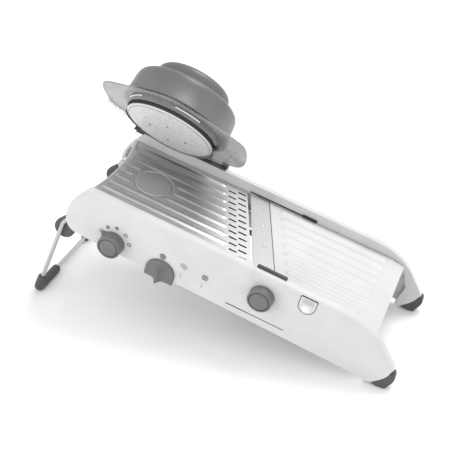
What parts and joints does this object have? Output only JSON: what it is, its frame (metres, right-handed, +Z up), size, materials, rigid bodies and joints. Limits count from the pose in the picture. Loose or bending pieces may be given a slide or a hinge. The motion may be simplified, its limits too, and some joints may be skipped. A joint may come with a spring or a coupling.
{
  "type": "mandoline slicer",
  "caption": "Adjustable kitchen slicer: sloping ribbed deck with an oblique blade, knobs on one side, folding wire stand and a hinged food guard.",
  "frame": {"origin": "middle of the footprint, on the surface that the slicer stands on", "axes": "+X down the sloping deck from the high end to the low end, -Y the side with the controls, +Z up"},
  "size_m": [0.4324, 0.178, 0.273],
  "materials": {
    "white_plastic": "smooth moulded, soft gloss",
    "grey_plastic": "fine-textured moulded",
    "dark_plastic": "fine-textured moulded",
    "cup_plastic": "satin moulded",
    "rubber": "matt moulded",
    "steel": "brushed and pressed",
    "clear_plastic": "smoked clear, polished"
  },
  "bodies": {
    "frame": {"near_wall": "white_plastic", "far_wall": "white_plastic", "chassis": "white_plastic", "foot_near": "rubber", "foot_far": "rubber", "blade_bed": "dark_plastic", "ramp": "white_plastic", "stand_bush_near": "white_plastic", "stand_bush_far": "white_plastic", "wall_screw_near_1": "steel", "wall_screw_near_2": "steel", "wall_screw_near_3": "steel", "wall_screw_far_1": "steel", "wall_screw_far_2": "steel", "wall_screw_far_3": "steel"},
    "stand": {"stand_wire": "steel", "stand_boot_near": "rubber", "stand_boot_far": "rubber", "stand_pad_near": "rubber", "stand_pad_far": "rubber"},
    "feed_table": {"feed_plate": "steel", "feed_carrier": "grey_plastic"},
    "thickness_drive": {"thickness_knob": "grey_plastic", "thickness_shaft": "steel", "drop_cam_near": "grey_plastic", "drop_cam_far": "grey_plastic"},
    "thickness_slide": {"thickness_pointer": "dark_plastic"},
    "julienne_drive": {"julienne_knob": "grey_plastic", "julienne_shaft": "steel", "lift_cam": "grey_plastic"},
    "comb_a": {"julienne_comb_a": "steel"},
    "comb_b": {"julienne_comb_b": "steel"},
    "mode_slide": {"mode_slider": "grey_plastic", "lift_wedge": "grey_plastic"},
    "blade_cassette": {"blade": "steel", "blade_grip": "white_plastic", "blade_rivet_1": "steel", "blade_rivet_2": "steel", "blade_rivet_3": "steel", "blade_rivet_4": "steel"},
    "button": {"release_button": "white_plastic"},
    "guard_carriage": {"guard_shoe": "dark_plastic", "hinge_pin": "steel"},
    "guard": {"guard_flange": "clear_plastic", "guard_cup": "cup_plastic"},
    "plunger": {"pusher_disc": "white_plastic", "plunger_sleeve": "dark_plastic", "plunger_stem": "white_plastic", "plunger_grip": "cup_plastic", "plunger_cap": "white_plastic", "prong_1": "steel", "prong_2": "steel", "prong_3": "steel", "prong_4": "steel"}
  },
  "joints": [
    {"name": "stand_fold", "type": "hinge", "parent": "frame", "child": "stand", "pos_m": [-0.15932, -0.00219, 0.11715], "axis": [0, -1, 0], "range_deg": [0, 85]},
    {"name": "thickness_turn", "type": "hinge", "parent": "frame", "child": "thickness_drive", "pos_m": [0.06886, -0.07649, 0.08085], "axis": [0, -1, 0], "range_deg": [0, 270]},
    {"name": "feed_table_drop", "type": "slide", "parent": "frame", "child": "feed_table", "axis": [-0.2588, 0, -0.9659], "range_m": [0, 0.0055]},
    {"name": "thickness_pointer_slide", "type": "slide", "parent": "frame", "child": "thickness_slide", "axis": [0.9659, 0, -0.2588], "range_m": [0, 0.0435]},
    {"name": "julienne_turn", "type": "hinge", "parent": "frame", "child": "julienne_drive", "pos_m": [-0.10304, -0.07649, 0.1031], "axis": [0, -1, 0], "range_deg": [0, 144]},
    {"name": "comb_a_lift", "type": "slide", "parent": "frame", "child": "comb_a", "axis": [0.2588, 0, 0.9659], "range_m": [0, 0.0084]},
    {"name": "mode_slide_travel", "type": "slide", "parent": "frame", "child": "mode_slide", "axis": [0.9659, 0, -0.2588], "range_m": [0, 0.05]},
    {"name": "comb_b_lift", "type": "slide", "parent": "frame", "child": "comb_b", "axis": [0.2588, 0, 0.9659], "range_m": [0, 0.0084]},
    {"name": "blade_eject", "type": "slide", "parent": "frame", "child": "blade_cassette", "axis": [0.374, -0.922, -0.1002], "range_m": [0, 0.1]},
    {"name": "button_press", "type": "slide", "parent": "frame", "child": "button", "axis": [0, 1, 0], "range_m": [0, 0.0025], "stiffness_N_per_m": 400, "springref_m": -0.001},
    {"name": "guard_travel", "type": "slide", "parent": "frame", "child": "guard_carriage", "axis": [0.9659, 0, -0.2588], "range_m": [0, 0.15]},
    {"name": "guard_tilt", "type": "hinge", "parent": "guard_carriage", "child": "guard", "pos_m": [-0.08804, 0.06731, 0.15364], "axis": [0.9659, 0, -0.2588], "range_deg": [0, 52.4]},
    {"name": "plunger_travel", "type": "slide", "parent": "guard", "child": "plunger", "axis": [0.1579, 0.7923, 0.5894], "range_m": [0, 0.022], "stiffness_N_per_m": 120, "springref_m": -0.02}
  ],
  "couplings": [
    {"joint": "thickness_turn", "follows": "feed_table_drop", "rad_per_m": 856.79},
    {"joint": "thickness_pointer_slide", "follows": "feed_table_drop", "ratio": 7.909},
    {"joint": "julienne_turn", "follows": "comb_a_lift", "rad_per_m": 299.19},
    {"joint": "comb_b_lift", "follows": "mode_slide_travel", "ratio": 0.168}
  ]
}
